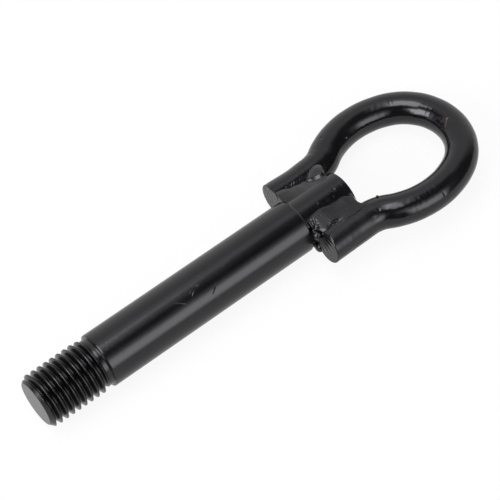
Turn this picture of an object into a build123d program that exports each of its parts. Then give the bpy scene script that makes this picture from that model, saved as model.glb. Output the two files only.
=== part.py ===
from build123d import *
import math
import os

# Tow eye: a turned shank with a threaded end, and a bent rod loop welded to its stub.
# Millimetres. The origin is the centre of the flat face at the threaded end, +X runs along
# the shank to the eye and +Z is up, with the part lying on its shank and one side of its loop.

# Threaded end, read from its flat face towards the eye
end_face_dia = 16.2       # flat face inside the lead chamfer
lead_chamfer_len = 1.75   # cone from the end face up to the thread
thread_dia = 19.7         # over the crests of the M20 x 2.5 thread
thread_len = 18.6         # full crests, between the lead chamfer and the run-out
runout_len = 2.35         # crests fade into the neck
neck_dia = 18.3           # relief behind the thread
neck_len = 1.8
shoulder_len = 1.2        # cone from the neck up to the plain shank

# Plain shank and the stub that the loop is welded to
shank_dia = 20.0
shank_len = 84.3          # from the shoulder cone to the step
step_break = 0.25         # edge break where the shank steps down
stub_dia = 17.4
stub_len = 21.2
stub_break = 0.5          # edge break at the stub's end

# Loop, one rod bent in a plane through the shank's axis
rod_dia = 12.0
root_gap = 0.2            # between the stub and each leg, before welding
loop_turn = 0.8           # degrees that the loop is welded out of true, towards the left
left_setback = 1.3        # from the step to the middle of the left leg's cut
right_setback = 1.55
left_cut_skew = 4.5       # degrees that the sheared ends are out of square, seen from above
right_cut_skew = -2.5
right_cut_lean = 4.7      # and seen from the side
leg_len = 19.1            # from the step to where the legs start to bend
bend_radius = 14.5        # outward bend, at the rod's middle
flare_angle = 33.0        # degrees that each leg is bent outwards
side_radius = 31.4        # long inward curve of each side
side_past_angle = 26.3    # degrees that this curve runs on past the widest place

# Weld metal in the four grooves between the stub and the legs
root_face = 1.5           # height over the loop's middle plane where the weld starts
weld_setback = 0.6        # from a leg's cut end to the weld's start
tail_radius = 4.3         # hollow end of the weld at the eye, seen from above
tail_set = 2.15           # how far this hollow reaches past the legs' inner sides
toe_bury = 1.0            # how far the weld's surface line runs on into both bars
# Angles of the weld's edges in degrees: round the stub up from the loop's plane, and round
# the leg up from the side that faces the stub
stub_toe = {"left_upper": 68.0, "right_upper": 50.0, "left_under": 52.0, "right_under": 52.0}
leg_toe = {"left_upper": 57.0, "right_upper": 88.0, "left_under": 62.0, "right_under": 62.0}

# Values worked out from the sizes above
thread_r = thread_dia / 2
neck_r = neck_dia / 2
shank_r = shank_dia / 2
stub_r = stub_dia / 2
rod_r = rod_dia / 2
thread_start = lead_chamfer_len
thread_end = thread_start + thread_len
neck_start = thread_end + runout_len
neck_end = neck_start + neck_len
shank_start = neck_end + shoulder_len
step_x = shank_start + shank_len
stub_end = step_x + stub_len
bend_x = step_x + leg_len
leg_offset = stub_r + root_gap + rod_r
flare = math.radians(flare_angle)
past = math.radians(side_past_angle)
half_width = leg_offset + (bend_radius + side_radius) * (1 - math.cos(flare))
nose_radius = (half_width - side_radius * (1 - math.cos(past))) / math.cos(past)
turn_x = step_x + stub_len / 2
side_x = bend_x + (bend_radius + side_radius) * math.sin(flare)
turn = math.radians(loop_turn)
# How far the middle of the rod reaches to the left at its widest place, once the loop is turned
side_y = (side_x - turn_x) * math.sin(turn) + (half_width - side_radius) * math.cos(turn)
left_reach = side_y + side_radius
# The part rolls about its shank until the left side of the loop meets the ground
rest_r = max(shank_r, thread_r)
rest_roll = math.degrees(math.asin((rest_r - rod_r) / left_reach))
shear_size = 2 * rod_dia  # block that shears a leg


# Profile from the axis out, turned about X
def turned_shank():
    outline = Polyline(
        (0, 0),
        (0, end_face_dia / 2),
        (thread_start, thread_r),
        (thread_end, thread_r),
        (neck_start, neck_r),
        (neck_end, neck_r),
        (shank_start, shank_r),
        (step_x - step_break, shank_r),
        (step_x, shank_r - step_break),
        (step_x, stub_r),
        (stub_end - stub_break, stub_r),
        (stub_end, stub_r - stub_break),
        (stub_end, 0),
        close=True,
    )
    return revolve(make_face(outline), Axis.X, 360)


# Middle line of the rod, from the left leg round the eye to the right leg
def loop_path():
    side_angle = flare_angle + side_past_angle
    nose_angle = 2 * (90 - side_past_angle)
    left_leg = Line((step_x - rod_dia, leg_offset), (bend_x, leg_offset))
    left_bend = JernArc(left_leg @ 1, left_leg % 1, bend_radius, flare_angle)
    left_side = JernArc(left_bend @ 1, left_bend % 1, side_radius, -side_angle)
    nose = JernArc(left_side @ 1, left_side % 1, nose_radius, -nose_angle)
    right_side = JernArc(nose @ 1, nose % 1, side_radius, -side_angle)
    right_bend = JernArc(right_side @ 1, right_side % 1, bend_radius, flare_angle)
    right_leg = Line(right_bend @ 1, (step_x - rod_dia, -leg_offset))
    return Wire([left_leg, left_bend, left_side, nose, right_side, right_bend, right_leg])


# Block whose sloping face shears one leg: side is 1 for the left leg and -1 for the right
def leg_shear(side, setback, skew, lean=0):
    block = Box(shear_size, shear_size, shear_size, align=(Align.MAX, Align.CENTER, Align.CENTER))
    return Pos(step_x + setback, side * leg_offset, 0) * Rot(0, lean, -side * skew) * block


def bent_loop():
    path = loop_path()
    section = Plane(origin=path @ 0, z_dir=path % 0) * Circle(rod_r)
    rod = sweep(section, path=path)
    rod -= leg_shear(1, left_setback, left_cut_skew)
    rod -= leg_shear(-1, right_setback, right_cut_skew, right_cut_lean)
    return Pos(turn_x, 0, 0) * Rot(0, 0, loop_turn) * Pos(-turn_x, 0, 0) * rod


# Section of the weld across the shank, drawn for the left upper groove and run along X
def weld_section(name, side, face):
    stub_angle = math.radians(stub_toe[name])
    leg_angle = math.radians(leg_toe[name])
    at_stub = Vector(stub_r * math.cos(stub_angle), stub_r * math.sin(stub_angle))
    at_leg = Vector(leg_offset - rod_r * math.cos(leg_angle), rod_r * math.sin(leg_angle))
    along = (at_leg - at_stub).normalized() * toe_bury
    corners = [Vector(0, root_face), at_stub - along, at_leg + along, Vector(leg_offset, root_face)]
    outline = Polyline(*[(side * p.X, face * p.Y) for p in corners], close=True)
    plane = Plane(origin=(step_x, 0, 0), x_dir=(0, 1, 0), z_dir=(1, 0, 0))
    return extrude(plane * make_face(outline), stub_len + 2 * tail_radius, dir=(1, 0, 0))


# Outline of the weld seen from above: square at the cut end, a hollow quarter round at the eye
def weld_plan(side, start):
    tail_x = stub_end + tail_radius
    hollow_y = leg_offset - rod_r + tail_set - tail_radius
    hollow = CenterArc((tail_x, side * hollow_y), tail_radius, 180, -side * 90)
    far_edge = [hollow @ 1, (tail_x, side * leg_offset), (start, side * leg_offset)]
    near_edge = [(start, 0), (stub_end, 0), hollow @ 0]
    outline = make_face([hollow, Polyline(*far_edge, *near_edge)])
    return extrude(Plane.XY.offset(-shank_r) * outline, shank_dia, dir=(0, 0, 1))


# Weld metal in one groove, cut to the very surfaces of the stub and the rod
def weld_bead(name, shank, loop):
    side = 1 if name.startswith("left") else -1
    face = 1 if name.endswith("upper") else -1
    setback = left_setback if side > 0 else right_setback
    start = step_x + setback + weld_setback
    bead = weld_section(name, side, face) & weld_plan(side, start)
    return bead - shank - loop


# Roll the part about its shank so that the left side of the loop comes down to the ground
def laid(shape):
    return Rot(-rest_roll, 0, 0) * shape


shank = turned_shank()
eye_loop = bent_loop()
parts = {"shank": shank, "eye_loop": eye_loop}
for name in stub_toe:
    parts["weld_" + name] = weld_bead(name, shank, eye_loop)

os.makedirs("parts", exist_ok=True)
for node, shape in parts.items():
    export_step(laid(shape), f"parts/{node}.step")
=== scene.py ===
import bpy
import math
import numpy as np
from mathutils import Matrix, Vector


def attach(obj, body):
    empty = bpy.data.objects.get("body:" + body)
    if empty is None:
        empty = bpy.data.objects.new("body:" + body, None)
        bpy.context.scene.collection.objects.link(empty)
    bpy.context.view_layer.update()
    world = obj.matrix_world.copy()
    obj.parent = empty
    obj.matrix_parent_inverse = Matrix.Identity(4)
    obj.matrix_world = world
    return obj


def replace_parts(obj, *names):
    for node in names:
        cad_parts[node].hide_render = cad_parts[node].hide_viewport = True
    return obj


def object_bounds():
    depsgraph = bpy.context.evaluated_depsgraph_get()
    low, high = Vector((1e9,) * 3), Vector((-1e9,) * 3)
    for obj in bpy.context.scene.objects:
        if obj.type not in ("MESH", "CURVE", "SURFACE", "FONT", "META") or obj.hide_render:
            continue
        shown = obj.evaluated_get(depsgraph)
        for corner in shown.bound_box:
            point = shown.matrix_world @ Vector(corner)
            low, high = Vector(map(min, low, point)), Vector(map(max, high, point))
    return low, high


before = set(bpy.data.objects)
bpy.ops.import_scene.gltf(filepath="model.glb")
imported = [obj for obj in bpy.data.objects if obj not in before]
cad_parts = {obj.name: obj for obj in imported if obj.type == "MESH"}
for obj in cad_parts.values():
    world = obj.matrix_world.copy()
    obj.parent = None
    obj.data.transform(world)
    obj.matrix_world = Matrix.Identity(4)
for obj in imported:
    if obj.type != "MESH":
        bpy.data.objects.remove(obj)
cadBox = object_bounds()
print("frame loaded:", ", ".join(sorted(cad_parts)))

# Shapes are drawn in millimetres with the loop flat, then rolled about the shank to how the part lies
restRoll = math.radians(10.116)


# y and z turned by the roll, and all in metres
def lay(p):
    c, s = math.cos(restRoll), math.sin(restRoll)
    return np.stack([p[..., 0], p[..., 1] * c + p[..., 2] * s, p[..., 2] * c - p[..., 1] * s], -1) * 0.001


# 0 below low, 1 above high, an even S between
def ease(v, low, high):
    t = np.clip((v - low) / (high - low), 0, 1)
    return t * t * (3 - 2 * t)


# Uneven waves between about -1 and 1: a few crossed sines over two parameters
def waves(a, b, seed):
    count = 6
    rng = np.random.default_rng(seed)
    f = rng.uniform(0.5, 1.6, (count, 2)) * rng.choice([-1, 1], (count, 2))
    p = rng.uniform(0, 2 * np.pi, count)
    return sum(np.sin(a * f[k, 0] + b * f[k, 1] + p[k]) for k in range(count)) / count ** 0.5 / 1.4


# A table read between its rows, its corners rounded off over a short way
def bend(v, table, soft, count=9):
    return sum(np.interp(v + k, *zip(*table)) for k in np.linspace(-soft, soft, count)) / count


# Dents and bumps over two parameters: each mark is a place, a half length, a half width, a height and a slant in
# degrees, and its height falls off as a bell does
def marks(u, v, spots):
    total = np.zeros(np.broadcast(u, v).shape)
    for cu, cv, lu, lv, height, slant in spots:
        c, q = math.cos(math.radians(slant)), math.sin(math.radians(slant))
        du, dv = u - cu, v - cv
        total += height * np.exp(-((du * c + dv * q) / lu) ** 2 - ((dv * c - du * q) / lv) ** 2)
    return total


# Pitted metal where a piece's pit marks are: waves, each with a height and a beat along both parameters, sunk a little
def pitting(u, v, piece):
    rough = sum(high * waves(u * beatU, v * beatV, seed) for high, beatU, beatV, seed in piece["pitWaves"])
    return np.clip(marks(u, v, piece["pits"]), 0, 1) * (rough - piece["pitSink"])


# Corner numbers of the quads that join each ring of a grid to the next
def ringQuads(rows, cols):
    i, j = np.meshgrid(np.arange(rows - 1) * cols, np.arange(cols), indexing="ij")
    k = (j + 1) % cols
    return np.stack([i + j, i + k, i + cols + k, i + cols + j], -1).reshape(-1, 4)


# One mesh from grids of closed rings, a flat lid on both ends. A grid with a negative volume is turned inside out
def skin(name, rings, material, masks):
    points, faces, first = [], [], 0
    for grid in rings:
        rows, cols = grid.shape[:2]
        quads = ringQuads(rows, cols)
        p = grid.reshape(-1, 3)
        a, b, c, d = (p[quads[:, n]] for n in range(4))
        volume = (np.einsum("ij,ij->i", a, np.cross(b, c)) + np.einsum("ij,ij->i", a, np.cross(c, d))).sum()
        near, far = np.arange(cols), np.arange(cols) + (rows - 1) * cols
        if volume < 0:
            quads, far = quads[:, ::-1], far[::-1]
        else:
            near = near[::-1]
        faces += (quads + first).tolist() + [(near + first).tolist(), (far + first).tolist()]
        points.append(p)
        first += len(p)
    points = np.concatenate(points)
    mesh = bpy.data.meshes.new(name)
    mesh.from_pydata(lay(points).tolist(), [], faces)
    mesh.shade_smooth()
    for mask, values in masks.items():
        kind, field = ("FLOAT_VECTOR", "vector") if values[0].ndim == 3 else ("FLOAT", "value")
        flat = np.concatenate([v.ravel() for v in values]).astype(np.float32)
        mesh.attributes.new(mask, kind, "POINT").data.foreach_set(field, flat)
    mesh.materials.append(material)
    piece = bpy.data.objects.new(name, mesh)
    bpy.context.scene.collection.objects.link(piece)
    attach(piece, "root")
    print(name, len(points), "points")
    return piece


# Wraps a shader socket: arithmetic on it adds Math nodes, node() adds any other kind
class Wire:
    def __init__(self, tree, socket=None):
        self.tree, self.socket = tree, socket

    def plug(self, socket, value):
        if isinstance(value, Wire):
            self.tree.links.new(value.socket, socket)
        else:
            socket.default_value = value

    def node(self, kind, settings, sockets, out=0):
        made = self.tree.nodes.new(kind)
        for key, value in settings.items():
            setattr(made, key, value)
        for key, value in sockets.items():
            self.plug(made.inputs[key], value)
        return Wire(self.tree, made.outputs[out])

    def maths(self, operation, *values):
        return self.node("ShaderNodeMath", {"operation": operation}, dict(enumerate(values)))

    def vectors(self, operation, a, b, out=0):
        return self.node("ShaderNodeVectorMath", {"operation": operation}, {0: a, 1: b}, out)

    def attribute(self, name, out=2):
        return self.node("ShaderNodeAttribute", {"attribute_name": name}, {}, out)

    def __add__(self, other):
        return self.maths("ADD", self, other)

    def __sub__(self, other):
        return self.maths("SUBTRACT", self, other)

    def __mul__(self, other):
        return self.maths("MULTIPLY", self, other)

    def __rsub__(self, other):
        return self.maths("SUBTRACT", other, self)

    __radd__ = __add__
    __rmul__ = __mul__

    def above(self, low, high):
        return self.node("ShaderNodeMapRange", {"interpolation_type": "SMOOTHSTEP"},
                         {"Value": self, "From Min": low, "From Max": high})

    def noise(self, scale, detail=3.0, roughness=0.55):
        return self.node("ShaderNodeTexNoise", {},
                         {"Vector": self, "Scale": scale, "Detail": detail, "Roughness": roughness})

    def stretch(self, x, y, z):
        return self.node("ShaderNodeMapping", {}, {"Vector": self, "Scale": (x, y, z)})

    # From one colour to another as this value goes from 0 to 1
    def tint(self, low, high):
        low = low if isinstance(low, Wire) else (*low, 1)
        return self.node("ShaderNodeMix", {"data_type": "RGBA"}, {"Factor": self, "A": low, "B": (*high, 1)}, 2)


def newMaterial(name):
    material = bpy.data.materials.new(name)
    material.use_nodes = True
    tree = material.node_tree
    return material, tree.nodes["Principled BSDF"], Wire(tree)


# Scales are per metre. What each thing adds to the roughness is in rough, what it adds to the bump's height in high
# The grit colour is both real black grit and the painted shade laid in the thread's grooves
paint = {"black": (0.0030, 0.0030, 0.0036), "dull": (0.0055, 0.0054, 0.0062), "rust": (0.08, 0.044, 0.026),
         "grit": (0.0015, 0.0015, 0.0016), "cast": (0.98, 0.955, 1.0), "shine": 0.51,
         "cloudScale": 55.0, "peelScale": 700.0, "nibScale": 1500.0, "flakeScale": 2600.0, "nibFrom": (0.70, 0.78),
         "cloudFrom": (0.35, 0.75), "rustFrom": (0.25, 0.75), "gritFrom": (0.3, 0.8),
         "rough": {"base": 0.15, "cloud": 0.06, "lines": 0.08, "nibs": 0.1, "rust": 0.5, "grit": 0.06, "dull": 0.22},
         "high": {"peel": 0.3, "nibs": 0.5, "grit": 6.0, "rust": 3.0}, "bumpStrength": 0.3, "bumpDepth": 0.00003}


# Semi-gloss black: cloudy roughness, a faint orange peel, small nibs of dust, fine lines along or across the piece,
# rust where the rust mask is set, dull black grit where the grit mask is set and painted shade down in the grooves.
# A scratch is a bell drawn out along the line between its two ends
def paintMaterial(name, lines, grain, flow=None, scratches=()):
    material, shader, wire = newMaterial(name)
    place = wire.node("ShaderNodeTexCoord", {}, {}, 3)
    rough, high = paint["rough"], paint["high"]
    cloud = place.noise(paint["cloudScale"])
    peel = place.noise(paint["peelScale"], 2.0)
    nibs = place.noise(paint["nibScale"], 1.0).above(*paint["nibFrom"])
    flake = place.noise(paint["flakeScale"], 3.0)
    course = wire.attribute(flow, 1) if flow else place
    fine = course.stretch(*lines).noise(1.0, 4.0, 0.65)
    rust, grit, dull, grooveShade = (wire.attribute(mask) for mask in ("rust", "grit", "dull", "grooveShade"))
    rusty = (rust * (flake * 0.9 + 0.55)).above(*paint["rustFrom"])
    gritty = (grit * (flake + 0.5)).above(*paint["gritFrom"])

    colour = cloud.above(*paint["cloudFrom"]).tint(paint["black"], paint["dull"])
    # Real grit and the painted shade in the thread's grooves both take the darker grit black
    colour = wire.maths("MAXIMUM", gritty, grooveShade).tint(colour, paint["grit"])
    colour = rusty.tint(colour, paint["rust"])
    shader.inputs["Specular IOR Level"].default_value = paint["shine"]
    shader.inputs["Specular Tint"].default_value = (*paint["cast"], 1)
    wire.plug(shader.inputs["Base Color"], colour)
    roughness = rough["base"] + (cloud - 0.5) * rough["cloud"] + (fine - 0.5) * rough["lines"] + nibs * rough["nibs"]
    roughness = roughness + rusty * rough["rust"] + gritty * rough["grit"] + dull * rough["dull"]
    wire.plug(shader.inputs["Roughness"], roughness)

    height = peel * high["peel"] + fine * grain + nibs * high["nibs"]
    height = height + flake * (gritty * high["grit"] + rusty * high["rust"])
    for start, end, wide, tall in scratches:
        run = end - start
        size = np.linalg.norm(run)
        off = wire.vectors("SUBTRACT", place, tuple((start + end) / 2))
        along = wire.vectors("DOT_PRODUCT", off, tuple(run / size), 1)
        square = wire.vectors("DOT_PRODUCT", off, off, 1)
        far = along * along * (1 / wide ** 2 - 1 / (wide + size / 2) ** 2) - square * (1 / wide ** 2)
        height = height + wire.maths("EXPONENT", far) * tall
    bump = wire.node("ShaderNodeBump", {},
                     {"Height": height, "Strength": paint["bumpStrength"], "Distance": paint["bumpDepth"]})
    wire.plug(shader.inputs["Normal"], bump)
    return material


# Tables of rings are x and radius. Marks are placed by x and by degrees round the axis, 90 up.
# A scratch is x and degrees of both ends, a half width and a height
shank = {"endR": 8.1, "chamfer": 1.75, "leadOver": 0.05, "crestR": 9.84, "pitch": 2.49, "crestAt": 3.65,
         "crestTurn": 195 / 360, "crestFlat": 0.18, "crestRound": 0.0012, "flankSlope": 1.732,
         "crestRun": [(21.4, 9.84), (22.8, 9.52), (23.5, 8.98), (24.3, 8.9)],
         "rootRun": [(22.8, 8.3), (23.7, 8.86), (24.3, 8.9)], "threadTo": 24.3, "threadRows": (0.04, 24.4, 0.082),
         "neckRows": [np.linspace(24.4, 25.0, 6), np.linspace(25.04, 26.04, 42), [26.2, 26.4]],
         "shoulder": [(25.08, 8.9), (25.35, 8.97), (25.53, 9.88), (25.85, 9.97), (26.0, 9.993)],
         # Painted shade in the thread's grooves: how dark it is, the depth it grows over and where it starts; the
         # grooves are also made smoother
         "grooveShadeStrength": 0.8, "grooveShine": 0.25, "grooveDeep": (0.1, 0.7), "grooveFrom": 1,
         "endFace": [(0, 0.3), (0, 2), (0, 4), (0, 6), (0, 7.5), (0, 7.94), (0.012, 8.05)],
         "shankR": 9.993, "barRows": (27, 109.2, 36), "stepAt": 110.0, "edge": 0.5, "edgeSlope": 0.66,
         "edgeRows": (109.85, 109.95), "edgeShares": (0.04, 0.12, 0.35, 0.65, 0.9, 0.97),
         "stepFace": [(110.0, 9.5), (110.0, 9.2), (110.0, 8.9), (110.03, 8.74)],
         "stubR": 8.7, "stubRows": (110.15, 130.6, 92), "stubMarks": (111, 130.7), "stepMarks": {"x": 108, "r": 8.8},
         "stubEnd": [(130.9, 8.62), (131.1, 8.42), (131.2, 8.15), (131.2, 5), (131.2, 0.3)],
         "stepDents": [(109.9, 57, 0.45, 5.0, -0.55, 0), (109.9, 66, 0.3, 4.0, -0.25, 0),
                       (109.95, 150, 0.3, 6.0, -0.15, 0)],
         "stubDents": [(127.6, 122, 2.6, 11, -0.34, 0), (124.0, 118, 1.2, 6, -0.1, 0), (121.0, 117, 1.0, 5, -0.08, 0)],
         "pits": [(126.2, 110, 2.4, 6, 1, 0), (117.4, 117, 2.6, 4, 1, 0), (121.5, 117, 1.5, 4, 0.7, 0)],
         "pitWaves": [(0.1, 5.0, 0.8, 59), (0.05, 2.0, 0.3, 60)], "pitSink": 0.03,
         "specks": [(126.7, 108, 0.25, 1.6, 0.14, 0), (124.5, 119, 0.3, 2.0, 0.16, 0), (118.3, 114, 0.28, 2.0, 0.16, 0),
                    (125.8, 104, 0.2, 1.5, -0.1, 0), (127.9, 111, 0.22, 1.6, 0.1, 0), (128.8, 106, 0.2, 1.4, -0.1, 0),
                    (123.3, 110, 0.2, 1.4, 0.08, 0), (126.0, 113, 0.2, 1.6, -0.1, 0)],
         "scratches": [(65.7, 113.2, 66.0, 113.8, 0.19, 6), (68.2, 97.6, 68.4, 98.0, 0.13, 2),
                       (58.9, 107.3, 59.2, 107.8, 0.14, 2), (77.3, 110.0, 77.6, 111.0, 0.12, 2),
                       (61.5, 119.0, 62.7, 114.6, 0.11, 0.6), (62.6, 121.8, 63.6, 118.2, 0.11, 0.8),
                       (61.9, 123.0, 62.5, 120.0, 0.12, -2.5), (55.1, 116.1, 56.8, 120.4, 0.12, 2.5),
                       (56.8, 120.4, 58.3, 127.3, 0.13, 3), (70.6, 132.3, 69.6, 138.0, 0.14, -3),
                       (69.6, 138.0, 68.5, 142.7, 0.12, -3), (65.3, 102.8, 65.5, 103.0, 0.1, 2),
                       (66.4, 105.0, 66.6, 105.4, 0.1, 2), (83.1, 97.2, 83.4, 97.6, 0.11, 2)],
         "scratchWide": 0.0011, "scratchTall": 5}


# Turned shank: radius is a function of x and of the turn round the axis. The thread is a helix: the distance from the
# nearest crest line sets how far the radius drops down a 60 degree flank, between a crest and a root that run out
# together. Dents, specks and pitting change the radius of the stub, and dents that of the step's edge
def shankRings(cols=184):
    s = shank
    turn = np.arange(cols) / cols
    rows = np.concatenate([np.arange(*s["threadRows"]), *s["neckRows"]])
    x, th = np.meshgrid(rows, turn, indexing="ij")
    q = (x - s["crestAt"]) / s["pitch"] - (th - s["crestTurn"])
    d = np.abs(q - np.round(q)) * s["pitch"] - s["crestFlat"]
    crest, root = np.interp(x, *zip(*s["crestRun"])), np.interp(x, *zip(*s["rootRun"]))
    deep = np.maximum(crest - root, 0.01)
    drop = (np.sqrt(d * d + s["crestRound"]) + d) / 2 * s["flankSlope"]
    r = crest - deep * np.tanh((drop / deep) ** 4) ** 0.25
    r = np.minimum(r, s["endR"] + (s["crestR"] + s["leadOver"] - s["endR"]) * x / s["chamfer"])
    r = np.where(x > s["threadTo"], bend(x, s["shoulder"], 0.03, 7), r)

    def ring(xr):
        a = np.array(xr)
        return np.repeat(a[:, :1], cols, 1), np.repeat(a[:, 1:], cols, 1)
    face = ring(s["endFace"])
    plainRows = [*np.linspace(*s["barRows"]), *(v - s["edge"] for v in s["edgeRows"])]
    edge = [(s["stepAt"] - s["edge"] * (1 - k), s["shankR"] - s["edgeSlope"] * s["edge"] * k) for k in s["edgeShares"]]
    bar = ring([(v, s["shankR"]) for v in plainRows] + edge + s["stepFace"])
    stub = ring([(v, s["stubR"]) for v in np.linspace(*s["stubRows"])] + s["stubEnd"])
    x = np.concatenate([face[0], x, bar[0], stub[0]])
    r = np.concatenate([face[1], r, bar[1], stub[1]])

    degrees = 360 * turn[None]
    onStub = (x > s["stubMarks"][0]) * (x < s["stubMarks"][1])
    r = r + (marks(x, degrees, s["stubDents"]) + marks(x, degrees, s["specks"])) * onStub
    r = r + pitting(x, degrees, s) * onStub
    r = r + marks(x, degrees, s["stepDents"]) * (x > s["stepMarks"]["x"]) * (r > s["stepMarks"]["r"])
    a = np.radians(degrees)
    # Painted shade: the thread's grooves get a darker base colour towards the root, and a lower roughness
    grooveShade = s["grooveShadeStrength"] * ease(s["crestR"] - r, *s["grooveDeep"]) * (x > s["grooveFrom"]) * (x < s["threadTo"])
    masks = {"grit": [0 * x], "rust": [0 * x], "dull": [-s["grooveShine"] * grooveShade], "grooveShade": [grooveShade]}
    return np.stack([x, r * np.cos(a), r * np.sin(a)], -1), masks


# Scratches as the paint takes them: both ends on the part as it lies and a half width, in metres, and a height
def shankScratches():
    s = shank

    def at(x, turn):
        a = math.radians(turn)
        return lay(np.array([x, s["shankR"] * math.cos(a), s["shankR"] * math.sin(a)]))
    return [(at(x0, turn0), at(x1, turn1), wide * s["scratchWide"], tall * s["scratchTall"])
            for x0, turn0, x1, turn1, wide, tall in s["scratches"]]


# Marks are placed by millimetres along the rod from the left leg's cut and by degrees round it, 0 outwards and 90 up;
# their half length runs along the rod, their half width round it. The inset keeps the waviness inside the true rod
loop = {"rodR": 6.0, "inset": 0.03, "legY": 14.9, "stepAt": 110.0, "leftCut": 1.3, "rightCut": 1.55, "leftSkew": 4.5,
        "rightSkew": 2.5, "rightLean": 4.7, "bendAt": 129.1, "bendR": 14.5, "flare": 33.0, "sideR": 31.4, "past": 26.3,
        "turn": 0.8, "turnAt": 120.6, "rowStep": 0.38, "legRows": 74, "cutRows": 26,
        "cutEdge": 0.3, "cutWear": (0.75, 95, 42), "ridgeHigh": 0.05, "ridgeBeat": (7.5, 0.8),
        "finCorner": (6.5, 5.0), "finHigh": 0.17, "finBeat": 0.4, "finFrom": (0.5, 3), "finTo": (6.5, 11),
        "swell": [(0.022, 1.6, 2, 41), (0.009, 0.55, 5, 43)], "dullFrom": (144, 149), "dullest": 0.6,
        "crossHigh": 0.012, "crossBeat": 5.5, "crossFrom": (117, 121), "crossTo": (129, 133), "crossAt": (40, 30),
        "pits": [(3.0, 117, 3.0, 4, 1, 0), (8.0, 120, 3.2, 5, 1, 0), (12.5, 122, 3.0, 6, 1, 0),
                 (15.4, 118, 0.8, 4, 0.8, 0)],
        "pitWaves": [(0.18, 5.5, 0.7, 57), (0.06, 2.2, 0.3, 58)], "pitSink": 0.03,
        "dents": [(30.2, 70, 0.4, 4, -0.34, 0), (35.8, 147, 0.45, 4, -0.34, 0), (9.5, 111, 4.5, 6, 0.07, 0),
                  (10.8, 42, 5.5, 46, -0.4, 0), (153, 20, 4.5, 46, -0.22, 0), (22.3, 52, 0.9, 26, -0.12, 0),
                  (24.6, 66, 0.7, 12, -0.06, 0), (84.2, 127, 0.8, 6, -0.2, 0), (87.5, 140, 0.9, 7, -0.25, 0),
                  (87.7, 99, 0.6, 6, -0.14, 0), (84.6, 108, 1.2, 12, -0.08, 0), (142.5, 64, 0.35, 4, -0.2, 0),
                  (141.0, 82, 1.6, 10, -0.08, 0), (136.2, 61, 1.8, 9, -0.07, 0), (134.9, 27, 1.5, 10, -0.09, 0),
                  (133.2, 53, 1.0, 7, 0.05, 0), (145.5, 45, 1.6, 9, -0.1, 0), (139.5, 14, 1.3, 9, -0.1, 0),
                  (98.0, 60, 3.0, 14, -0.05, 0), (48.0, 120, 3.0, 12, -0.04, 0), (66.0, 95, 2.5, 14, -0.03, 0),
                  (110.0, 80, 3.0, 16, -0.04, 0), (152.0, 60, 2.0, 14, -0.05, 0)],
        "lines": [(60.0, 104, 0.2, 20, -0.1, 0), (61.3, 100, 0.2, 16, -0.08, 0), (75.6, 130, 0.22, 17, -0.1, 0),
                  (77.9, 127, 0.22, 15, -0.1, 0), (72.0, 128, 0.14, 12, -0.03, 0), (80.6, 122, 0.14, 14, -0.03, 0),
                  (122.0, 79, 0.22, 18, -0.12, 0), (120.1, 34, 0.22, 14, -0.12, 0), (124.2, 60, 0.2, 22, -0.08, 0),
                  (126.8, 36, 0.2, 26, -0.08, 0), (128.6, 52, 0.2, 20, -0.09, 0), (130.5, 40, 0.2, 22, -0.08, 0)],
        "rust": [(86.0, 109, 0.6, 5, 0.85, 0), (86.7, 116, 0.6, 4, 0.6, 0), (87.4, 122, 0.65, 4, 0.65, 0),
                 (88.1, 127, 0.6, 4, 0.55, 0), (88.8, 131, 0.6, 4, 0.65, 0), (86.2, 100, 0.8, 6, 0.3, 0)],
        "grit": [(84.2, 127, 0.8, 5, 1, 0), (87.5, 140, 0.9, 6, 1, 0), (142.5, 64, 0.6, 6, 0.8, 0),
                 (30.2, 70, 0.3, 3, 1, 0), (35.8, 147, 0.3, 3, 1, 0)]}


# Middle line of the rod between its legs: arcs, each a turn of the heading at an even radius
def loopPath():
    s = loop
    flare, past = math.radians(s["flare"]), math.radians(s["past"])
    half = s["legY"] + (s["bendR"] + s["sideR"]) * (1 - math.cos(flare))
    noseR = (half - s["sideR"] * (1 - math.cos(past))) / math.cos(past)
    bent, side = (s["bendR"], flare), (s["sideR"], -flare - past)
    at, heading = np.array([s["bendAt"], s["legY"]]), 0.0
    points, headings = [], []
    for radius, angle in (bent, side, (noseR, 2 * past - math.pi), side, bent):
        steps = np.linspace(0, angle, max(int(abs(angle) * radius / s["rowStep"]), 8), endpoint=False)
        reach = math.copysign(radius, angle)
        h = heading + steps
        centre = at + reach * np.array([-math.sin(heading), math.cos(heading)])
        points.append(centre + reach * np.stack([np.sin(h), -np.cos(h)], 1))
        headings.append(h)
        heading += angle
        at = centre + reach * np.array([math.sin(heading), -math.cos(heading)])
    points.append(at[None])
    headings.append(np.array([heading]))
    return np.concatenate(points), np.concatenate(headings)


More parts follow.
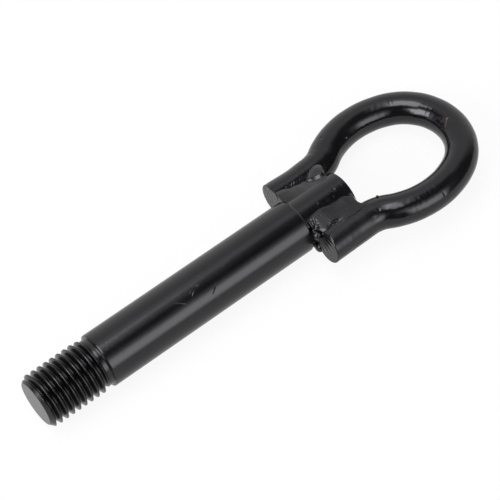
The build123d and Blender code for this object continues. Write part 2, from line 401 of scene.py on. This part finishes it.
# Rod along the path: a circle square to the heading, its radius changed by dents, pitting, cross lines and a slow
# waviness. At both ends a leg runs on to its slanting cut, which is ridged: straight lines on the left, fins that
# spread from a corner on the right
def loopRings(cols=144):
    s = loop
    path, heading = loopPath()
    degrees = 360 * np.arange(cols)[None] / cols
    out, up = np.cos(np.radians(degrees)), np.sin(np.radians(degrees))
    legLen = {1: s["bendAt"] - s["stepAt"] - s["leftCut"], -1: s["bendAt"] - s["stepAt"] - s["rightCut"]}
    along = legLen[1] + np.concatenate([[0], np.cumsum(np.hypot(*np.diff(path, axis=0).T))])

    def swell(place):
        u, v = np.broadcast_arrays(place, degrees)
        slow = sum(high * waves(u / long, np.radians(v) * turns, seed) for high, long, turns, seed in s["swell"])
        cross = s["crossHigh"] * np.sin(u * s["crossBeat"] + 2 * waves(u, v / 30, 47))
        cross = cross * ease(u, *s["crossFrom"]) * (1 - ease(u, *s["crossTo"]))
        cross = cross * np.exp(-((v - s["crossAt"][0]) / s["crossAt"][1]) ** 2)
        return slow + cross + pitting(u, v, s) + marks(u, v, s["dents"]) + marks(u, v, s["lines"])

    r = s["rodR"] - s["inset"] + swell(along[:, None])
    side = np.stack([-np.sin(heading), np.cos(heading)], 1)[:, None]
    bent = np.concatenate([path[:, None] + (r * out)[..., None] * side, (r * up)[..., None]], -1)

    def leg(sign, cut, skew, lean):
        off = sign * s["legY"]
        rim = np.radians(np.linspace(0, 90, 9))
        wear, wearAt, wearWide = s["cutWear"]
        soft = s["cutEdge"] + (sign < 0) * wear * np.exp(-((degrees - wearAt) / wearWide) ** 2)
        flat = np.linspace(0.02, 1, s["cutRows"])[:, None] * (1 - soft / s["rodR"])
        share = np.concatenate([flat, 1 - soft / s["rodR"] * (1 - np.sin(rim))[1:, None]])
        back = np.concatenate([0 * flat, soft * (1 - np.cos(rim))[1:, None]])
        y, z = sign * s["rodR"] * share * out, s["rodR"] * share * up
        if sign > 0:
            ridge = np.sin(s["ridgeBeat"][0] * y + s["ridgeBeat"][1] * z + 1.2 * waves(y, z, 51))
            ridge = s["ridgeHigh"] * ridge + s["ridgeHigh"] * waves(2 * y, z, 53)
        else:
            dy, dz = y - s["finCorner"][0], z - s["finCorner"][1]
            spread, away = np.degrees(np.arctan2(dz, -dy)), np.hypot(dy, dz)
            ridge = s["finHigh"] * np.sin(spread * s["finBeat"] + 0.6 * waves(y, z, 55))
            ridge = ridge * ease(away, *s["finFrom"]) * (1 - ease(away, *s["finTo"]))
        x = s["stepAt"] + cut + y * math.tan(math.radians(skew)) + z * math.tan(math.radians(lean))
        ends = np.stack([x + back + ridge * (back < 0.01), y + off, z], -1)
        u = np.linspace(0, 1, s["legRows"])[1:-1, None, None]
        last = np.stack([np.full(cols, s["bendAt"]), y[-1] + off, z[-1]], -1)
        run = ends[-1] * (1 - u) + last * u
        place = run[..., 0] - s["stepAt"] - cut
        place = place if sign > 0 else along[-1] + legLen[-1] - place
        grow = 1 + (swell(place) - s["inset"]) / s["rodR"]
        run = np.stack([run[..., 0], (run[..., 1] - off) * grow + off, run[..., 2] * grow], -1)
        bare = np.broadcast_to(place[:1] - 50, ends.shape[:2])  # a place without rust, grit or dullness for the cut
        return np.concatenate([ends, run]), np.concatenate([bare, place])

    left, leftPlace = leg(1, s["leftCut"], s["leftSkew"], 0)
    right, rightPlace = leg(-1, s["rightCut"], s["rightSkew"], s["rightLean"])
    p = np.concatenate([left, bent, right[::-1]])
    place = np.concatenate([leftPlace, np.broadcast_to(along[:, None], bent.shape[:2]), rightPlace[::-1]])
    masks = {name: [np.clip(marks(place, degrees, s[name]), 0, 1)] for name in ("rust", "grit")}
    masks["flow"] = [np.stack([place, s["rodR"] * out + 0 * place, s["rodR"] * up + 0 * place], -1)]
    masks["dull"] = [s["dullest"] * ease(place, *s["dullFrom"])]
    c, q = math.cos(math.radians(s["turn"])), math.sin(math.radians(s["turn"]))
    x, y = p[..., 0] - s["turnAt"], p[..., 1]
    return np.stack([s["turnAt"] + x * c - y * q, x * q + y * c, p[..., 2]], -1), masks


# What all beads share: their toes lie just inside both bars, and a line deep in the joint closes each section
bead = {"stubR": 8.66, "legR": 5.93, "rootY": 8.8, "rootZ": 0.6, "stubWaver": 0.35, "legWaver": 0.9, "toeBeat": 1.3,
        "ripplePitch": 1.15, "rippleBow": 0.8, "slowHigh": 0.02, "fineHigh": 0.003, "gritHigh": 0.09, "gritSink": 0.06,
        "lobeBlend": 3, "lobeFrom": -0.2, "endFrom": 0.93}


# Weld bead: at each station a skin from a toe on the stub to a toe on the leg. Over the straight line between the toes
# it is lifted by its own rise, ripples, lumps, grit and lobes, which are raised polygons with soft edges.
# The stations run from the cut end to the eye, and both ends are uneven lines across the bead
def weldRings(w, rows=170, cols=72):
    u = np.linspace(0, 1, rows)[:, None]
    t = np.linspace(0, 1, cols)[None]
    seed = w["seed"]
    start, end = bend(t, w["start"], 0.04), bend(t, w["end"], 0.04)
    x = start + (end - start) * u
    beat = x * bead["toeBeat"]
    sa = np.radians(bend(x, w["stubToe"], 1.0) + bead["stubWaver"] * waves(beat, 0 * x, seed))
    la = np.radians(bend(x, w["legToe"], 0.8) + bead["legWaver"] * waves(beat, 0 * x + 5, seed + 1))
    lean = math.tan(math.radians(loop["turn"])) * w["side"]
    legY = loop["legY"] + (x - loop["turnAt"]) * lean + np.maximum(x - loop["bendAt"], 0) ** 2 / (2 * loop["bendR"])
    ay, az = bead["stubR"] * np.cos(sa), bead["stubR"] * np.sin(sa)
    by, bz = legY - bead["legR"] * np.cos(la), bead["legR"] * np.sin(la)
    chordY, chordZ = by - ay, bz - az
    size = np.hypot(chordY, chordZ)
    across = ay + chordY * t
    tx = t + 0 * x

    gritAt = np.clip(marks(x, tx, w["grit"]), 0, 1)
    lift = bend(tx, w["rise"], 0.02) + marks(x, across, w["lumps"])
    arc = 2 * np.pi * (x + bead["rippleBow"] * (2 * t - 1) ** 2) / bead["ripplePitch"]
    lift = lift + w["ripple"] * np.sin(arc + waves(x, tx * 3, seed + 4)) * np.sin(np.pi * t) ** 0.7
    uneven = bead["slowHigh"] * waves(x * 0.7, t * 5, seed + 2) + bead["fineHigh"] * waves(x * 3, t * 18, seed + 3)
    lift = lift + np.sin(np.pi * t) ** 0.5 * uneven
    lift = lift + gritAt * (bead["gritHigh"] * waves(x * 4.5, t * 36, seed + 5) - bead["gritSink"])
    for outline, slope, height in w["lobes"]:
        corners = np.array(outline + outline[:1])
        inside = 0
        for (px, py), (qx, qy) in zip(corners[:-1], corners[1:]):
            depth = (across - py) * (qx - px) - (x - px) * (qy - py)
            inside = inside + np.exp(-bead["lobeBlend"] * depth / math.hypot(qx - px, qy - py))
        lift = lift + height * ease(-np.log(inside) / bead["lobeBlend"], bead["lobeFrom"], slope)

    y = across - chordZ / size * lift
    z = az + chordZ * t + chordY / size * lift
    z = z - bend(t, w["startDrop"], 0.05) * (1 - ease(x - start, 0, bend(t, w["startSoft"], 0.05))) ** 1.5
    z = z - w["endDrop"] * ease(u, bead["endFrom"], 1.0)
    top = np.stack([x, y, z], -1)
    k = np.linspace(0, 1, 14)[None, 1:-1, None]  # from the leg's toe down to the root line and up to the stub's toe
    root = np.stack([x.mean(1), np.full(rows, bead["rootY"]), np.full(rows, bead["rootZ"])], -1)[:, None]
    stubEdge, legEdge = top[:, :1], top[:, -1:]
    back = np.where(k < 0.5, legEdge + (root - legEdge) * k * 2, root + (stubEdge - root) * (k * 2 - 1))
    p = np.concatenate([top, back], 1)
    shrink = np.concatenate([np.linspace(0.1, 1, 6)[:-1], np.ones(rows - 10), np.linspace(1, 0.1, 6)[1:]])
    p = root + (p - root) * shrink[:, None, None]  # both ends close in on the root line

    masks = {"grit": gritAt, "rust": np.clip(marks(x, across, w["rust"]), 0, 1), "dull": 0 * x}
    bare = np.zeros((rows, back.shape[1]))
    masks = {name: np.concatenate([values, bare], 1) for name, values in masks.items()}
    return p * [1, w["side"], w["face"]], masks


# Drop of weld metal: a ball drawn out to three half sizes, with an uneven skin
def dropRings(at, size, seed, rows=22, cols=30):
    up = np.linspace(-np.pi / 2 + 0.05, np.pi / 2 - 0.05, rows)[:, None]
    around = 2 * np.pi * np.arange(cols)[None] / cols
    r = 1 + 0.05 * waves(3 * np.sin(up) + 0 * around, 3 * np.cos(around) * np.cos(up), seed)
    ball = np.stack([r * np.cos(up) * np.cos(around), r * np.cos(up) * np.sin(around), r * np.sin(up)], -1)
    return ball * np.array(size) + np.array(at)


# Lumps, lobes and rust are placed by x and by the distance from the shank's axis, grit by x and by the share across
# the bead. Start and end are x over that share, the toes are degrees over x. A drop is a middle, half sizes and a seed
welds = {
    "leftUpper": {
        "side": 1, "face": 1, "seed": 3, "ripple": 0.004, "endDrop": 2.6,
        "start": [(0, 110.1), (0.4, 110.2), (0.7, 110.5), (1, 110.9)],
        "startDrop": [(0, 0.1), (0.5, 0.5), (1, 1.0)], "startSoft": [(0, 0.4), (1, 0.7)],
        "end": [(0, 130.4), (0.15, 129.7), (0.3, 129.7), (0.45, 130.7), (0.6, 131.6), (0.75, 132.0), (0.9, 131.9),
                (1, 131.5)],
        "stubToe": [(110.8, 56), (113.4, 57), (117.8, 60.5), (122.5, 62.5), (126.2, 64.5), (129.0, 62), (132.4, 54)],
        "legToe": [(110.8, 71), (112.5, 71), (114.0, 68), (116.0, 62), (118.8, 56.5), (122.6, 52.5), (124.8, 51.5),
                   (126.0, 57), (127.0, 62), (129.4, 64), (131.6, 56), (132.7, 44)],
        "rise": [(0, -0.03), (0.05, 0), (0.66, 0.2), (0.74, 0.2), (0.95, 0), (1, -0.08)],
        "lobes": [([(121.6, 8.5), (125.4, 5.7), (128.6, 5.4), (131.9, 7.6), (132.8, 9.7), (132.4, 13.0), (128.8, 13.6),
                    (125.0, 12.2)], 1.3, 1.0)],
        "lumps": [(113, 7, 1.5, 1.5, 0.06, 0), (119, 8, 2.5, 1.5, 0.05, 0)],
        "grit": [(114, 0.98, 2.5, 0.03, 0.7, 0), (118, 0.98, 2.5, 0.03, 0.7, 0), (122, 0.97, 2.2, 0.04, 0.7, 0)],
        "rust": [(112.5, 4.0, 0.5, 0.3, 0.8, 0)], "drops": [], "rustyDrops": []},
    "rightUpper": {
        "side": -1, "face": 1, "seed": 11, "ripple": 0.006, "endDrop": 2.0,
        "start": [(0, 110.2), (0.2, 110.3), (0.4, 110.5), (0.6, 111.0), (0.8, 111.8), (1, 112.0)],
        "startDrop": [(0, 0.3), (0.5, 0.3), (1, 0.25)], "startSoft": [(0, 0.6), (0.5, 0.8), (1, 0.8)],
        "end": [(0, 131.8), (0.25, 131.0), (0.5, 130.9), (0.7, 131.6), (0.85, 133.0), (1, 134.9)],
        "stubToe": [(111, 50), (113.4, 55), (117.4, 58), (120.4, 53), (123, 50), (127, 52), (129, 45), (131, 38),
                    (133, 32)],
        "legToe": [(110.8, 69), (112.2, 71), (114.3, 76), (117.1, 82), (120.6, 85), (123.6, 88), (127.1, 90),
                   (132.4, 79), (135.3, 58)],
        "rise": [(0, -0.05), (0.06, 0.2), (0.12, 0.2), (0.3, 0.06), (0.7, 0.02), (0.88, 0.06), (0.93, 0),
                 (0.965, -0.36), (1, -0.04)],
        "lobes": [],
        "lumps": [(111.6, 9.6, 0.9, 1.5, -0.7, 25), (111.3, 6.9, 0.26, 1.3, 0.22, 20), (112.2, 7.4, 0.24, 1.2, 0.2, 20),
                  (113.0, 7.4, 0.24, 0.9, 0.1, 20), (111.1, 13.4, 1.6, 2.0, -0.75, 0),
                  (117.8, 12.8, 2.8, 0.95, -0.5, 0), (118.9, 12.3, 0.2, 0.22, 0.3, 0), (117.2, 13.6, 0.3, 0.2, 0.2, 0),
                  (122, 10, 3, 2, 0.08, 0), (127, 11, 2, 2, -0.06, 0)],
        "grit": [(116.6, 0.83, 1.3, 0.09, 1, 0), (118.6, 0.84, 1.5, 0.09, 1, 0), (120.2, 0.82, 1.0, 0.06, 0.7, 0),
                 (114.4, 0.95, 1.6, 0.04, 0.7, 0), (112.5, 0.36, 0.9, 0.2, 0.9, 0), (125, 0.04, 3.0, 0.03, 0.8, 0)],
        "rust": [(131.0, 9.0, 0.5, 0.8, 1, 0), (131.4, 10.2, 0.5, 0.5, 0.8, 0), (110.7, 9.4, 0.8, 1.6, 0.5, 0)],
        "drops": [((110.7, -10.9, 3.8), (1.35, 1.75, 1.6), 61), ((110.6, -10.0, 4.9), (0.5, 0.55, 0.5), 66),
                  ((111.2, -11.9, 4.8), (0.5, 0.6, 0.55), 67), ((111.9, -13.2, 5.8), (0.45, 0.45, 0.4), 62),
                  ((110.9, -9.2, 4.6), (0.6, 0.8, 0.8), 63), ((112.3, -9.2, 0.3), (1.0, 1.6, 2.6), 64),
                  ((136.3, -12.9, 5.3), (0.5, 0.5, 0.45), 65)], "rustyDrops": []},
    "leftUnder": {
        "side": 1, "face": -1, "seed": 21, "ripple": 0.07, "endDrop": 2.0,
        "start": [(0, 111.9), (1, 112.2)], "startDrop": [(0, 0.8), (1, 0.8)], "startSoft": [(0, 1.0), (1, 1.0)],
        "end": [(0, 131.6), (0.3, 131.3), (0.6, 131.6), (1, 133.7)],
        "stubToe": [(110.8, 52), (132.4, 50)], "legToe": [(110.8, 62), (132.4, 62)],
        "rise": [(0, -0.05), (0.15, 0.15), (0.5, 0.3), (0.85, 0.15), (1, -0.05)], "lobes": [],
        "lumps": [(117, 8, 3, 2, 0.2, 0), (125, 8.5, 3, 2, 0.15, 0)],
        "grit": [(118, 0.97, 6, 0.04, 0.8, 0)], "rust": [], "drops": [], "rustyDrops": []},
    "rightUnder": {
        "side": -1, "face": -1, "seed": 31, "ripple": 0.07, "endDrop": 2.0,
        "start": [(0, 110.9), (0.5, 110.9), (1, 112.0)],
        "startDrop": [(0, 0.4), (1, 0.4)], "startSoft": [(0, 1.0), (1, 1.0)],
        "end": [(0, 131.6), (0.3, 131.3), (0.6, 131.6), (1, 133.7)],
        "stubToe": [(110.8, 50), (132.4, 50)], "legToe": [(110.8, 66), (116, 62), (132.4, 62)],
        "rise": [(0, -0.05), (0.15, 0.15), (0.5, 0.35), (0.85, 0.15), (1, -0.05)], "lobes": [],
        "lumps": [(112, 9, 1.5, 2.5, 0.6, 0), (121, 8, 3, 2, 0.2, 0)],
        "grit": [(118, 0.97, 6, 0.04, 0.8, 0)], "rust": [(111.0, 8.8, 0.8, 0.8, 0.9, 0)],
        "drops": [((111.9, -9.5, -4.9), (1.2, 2.0, 1.9), 71), ((110.8, -9.1, -3.2), (0.7, 0.8, 0.8), 72),
                  ((110.6, -8.6, -1.6), (0.5, 0.6, 0.6), 74)], "rustyDrops": [2]},
}
dropRust = 0.65

shankPaint = paintMaterial("shankPaint", (2600, 600, 600), 3.0, None, shankScratches())
loopPaint = paintMaterial("loopPaint", (0.12, 1.6, 1.6), 0.5, "flow")
weldPaint = paintMaterial("weldPaint", (400, 400, 400), 0.4)
print("paints made")

rings, masks = shankRings()
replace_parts(skin("shankBody", [rings], shankPaint, masks), "shank")
rings, masks = loopRings()
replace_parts(skin("rodLoop", [rings], loopPaint, masks), "eye_loop")
for spot, w in welds.items():
    rings, masks = weldRings(w)
    drops = [dropRings(*drop) for drop in w["drops"]]
    masks = {name: [values] + [np.zeros(d.shape[:2]) for d in drops] for name, values in masks.items()}
    for k in w["rustyDrops"]:
        masks["rust"][k + 1] += dropRust
    node = "weld_" + spot.replace("Upper", "_upper").replace("Under", "_under")
    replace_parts(skin("weld" + spot[0].upper() + spot[1:], [rings] + drops, weldPaint, masks), node)
print("pieces made")

studio = {"floor": 0.08, "floorRough": 0.9, "floorShine": 0.1, "floorHalf": 6, "glow": 0.9, "shinyGlow": 0.68,
          "worldPlain": 0.55}
ground = float(cadBox[0][2])


# White floor that keeps the part's shadow: part of its white is plain light given off to the camera and to reflections
def floorMaterial():
    material, shader, wire = newMaterial("paleFloor")
    shader.inputs["Base Color"].default_value = (studio["floor"],) * 3 + (1,)
    shader.inputs["Roughness"].default_value = studio["floorRough"]
    shader.inputs["Specular IOR Level"].default_value = studio["floorShine"]
    seen, shiny = (wire.node("ShaderNodeLightPath", {}, {}, k) for k in (0, 3))
    both = wire.maths("MAXIMUM", seen, shiny * (studio["shinyGlow"] / studio["glow"]))
    glow = wire.node("ShaderNodeEmission", {}, {"Color": (1, 1, 1, 1), "Strength": studio["glow"]})
    dim = wire.node("ShaderNodeEmission", {}, {"Color": (1, 1, 1, 1), "Strength": 0.0})
    pick = wire.node("ShaderNodeMixShader", {}, {0: both, 1: dim, 2: glow})
    total = wire.node("ShaderNodeAddShader", {}, {0: Wire(material.node_tree, shader.outputs[0]), 1: pick})
    wire.plug(material.node_tree.nodes["Material Output"].inputs["Surface"], total)
    return material


# A mesh of the studio, which is no piece of the object
def stageMesh(name, points, faces, material):
    mesh = bpy.data.meshes.new(name)
    mesh.from_pydata(points, [], faces)
    mesh.materials.append(material)
    card = bpy.data.objects.new(name, mesh)
    bpy.context.scene.collection.objects.link(card)
    return card


half = studio["floorHalf"]
corners = [(-half, -half, ground), (half, -half, ground), (half, half, ground), (-half, half, ground)]
stageMesh("floor", corners, [(0, 1, 2, 3)], floorMaterial())

# World: white to the camera and in reflections, plain light otherwise
world = bpy.data.worlds.new("studioWhite")
world.use_nodes = True
bpy.context.scene.world = world
wire = Wire(world.node_tree)
seen, shiny, clear = (wire.node("ShaderNodeLightPath", {}, {}, k) for k in (0, 3, 6))
white = wire.maths("MAXIMUM", wire.maths("MAXIMUM", seen, shiny), clear)
plain = wire.node("ShaderNodeBackground", {}, {"Color": (1, 1, 1, 1), "Strength": studio["worldPlain"]})
full = wire.node("ShaderNodeBackground", {}, {"Color": (1, 1, 1, 1), "Strength": 1.0})
mixed = wire.node("ShaderNodeMixShader", {}, {0: white, 1: plain, 2: full})
wire.plug(world.node_tree.nodes["World Output"].inputs["Surface"], mixed)
print("floor and world set")

# Camera of the photo, in metres as the part lies
view = {"at": (-0.11653, -0.26013, 0.55942), "right": (0.78224, -0.62297, -0.00135), "up": (0.53509, 0.67076, 0.51357),
        "ahead": (0.31903, 0.40246, -0.85805), "lens": 136.79, "sensor": 36, "clip": (0.01, 50)}

# Light around the part, in degrees from straight up: how far to the camera's right and how far forward.
# A white sweep stands in front, the room behind is dark, and each softbox is a rectangle with soft edges:
# its middle, the turn of its sides, half sizes along both, the softness of its edge and its light
sky = {"radius": 2.5, "middleX": 0.1, "dark": 0.07, "sweep": 0.72, "sweepFrom": (12, 28), "sweepLean": (0.25, 0.7),
       "horizon": (83, 91), "low": (0.18, 50, 80),
       "softboxes": [(-4, 14, 20, 11.5, 22, 6, 1.15), (-13, 1, 15, 16, 16, 5, 5.1), (-50, -34, 128.5, 32, 20, 9, 1.3),
                     (-46.2, -36.7, 128.5, 20, 15, 4, 7.0), (47.1, -40.3, -130.5, 26, 25, 11, 1.0),
                     (47.8, -40.9, -130.5, 20.5, 14.5, 8, 3.25)]}


# Strength of the light from one direction: the room, then the sweep and the horizon, then each softbox over them
def skyLevel(a, b):
    s = sky
    side = np.maximum(a, 0)
    low, high = (s["sweepFrom"][k] + s["sweepLean"][k] * side for k in (0, 1))
    level = s["dark"] + (s["sweep"] - s["dark"]) * np.maximum(ease(b, low, high), ease(np.hypot(a, b), *s["horizon"]))
    level = level + s["low"][0] * ease(b, *s["low"][1:])
    for ca, cb, spin, ha, hb, soft, light in s["softboxes"]:
        c, q = math.cos(math.radians(spin)), math.sin(math.radians(spin))
        inA = ease(ha - np.abs((a - ca) * c + (b - cb) * q), -soft, soft)
        inB = ease(hb - np.abs((b - cb) * c - (a - ca) * q), -soft, soft)
        level = level + np.maximum(light - level, 0) * inA * inB
    return level


# Half dome: rings of points from straight up down to the floor, each with the light it gives off
def skyDome(rows=31, cols=80):
    down, around = np.meshgrid(np.linspace(0.5, 90, rows), np.arange(cols) * 360 / cols, indexing="ij")
    a, b = down * np.sin(np.radians(around)), down * np.cos(np.radians(around))
    turn = math.atan2(view["ahead"][1], view["ahead"][0]) - np.radians(around)
    wide = sky["radius"] * np.sin(np.radians(down))
    high = ground + sky["radius"] * np.cos(np.radians(down))
    points = np.stack([sky["middleX"] + wide * np.cos(turn), wide * np.sin(turn), high], -1).reshape(-1, 3)
    material, shader, wire = newMaterial("skyGlow")
    shader.inputs["Base Color"].default_value = (0, 0, 0, 1)
    shader.inputs["Specular IOR Level"].default_value = 0
    shader.inputs["Emission Strength"].default_value = 1
    glow = wire.attribute("glow")
    wire.plug(shader.inputs["Emission Color"], wire.node("ShaderNodeCombineColor", {}, {0: glow, 1: glow, 2: glow}))
    dome = stageMesh("skyDome", points.tolist(), ringQuads(rows, cols).tolist() + [list(range(cols))], material)
    light = skyLevel(a, b).ravel().astype(np.float32)
    dome.data.attributes.new("glow", "FLOAT", "POINT").data.foreach_set("value", light)
    dome.visible_camera = False


skyDome()
camera = bpy.data.cameras.new("photoCamera")
camera.sensor_width = view["sensor"]
camera.lens = view["lens"]
camera.clip_start, camera.clip_end = view["clip"]
eye = bpy.data.objects.new("photoCamera", camera)
columns = [view["right"], view["up"], [-v for v in view["ahead"]], view["at"]]
eye.matrix_world = Matrix([[column[k] for column in columns] for k in range(3)] + [[0, 0, 0, 1]])
bpy.context.scene.collection.objects.link(eye)
bpy.context.scene.camera = eye
bpy.context.scene.view_settings.view_transform = "Standard"
print("camera and light set")
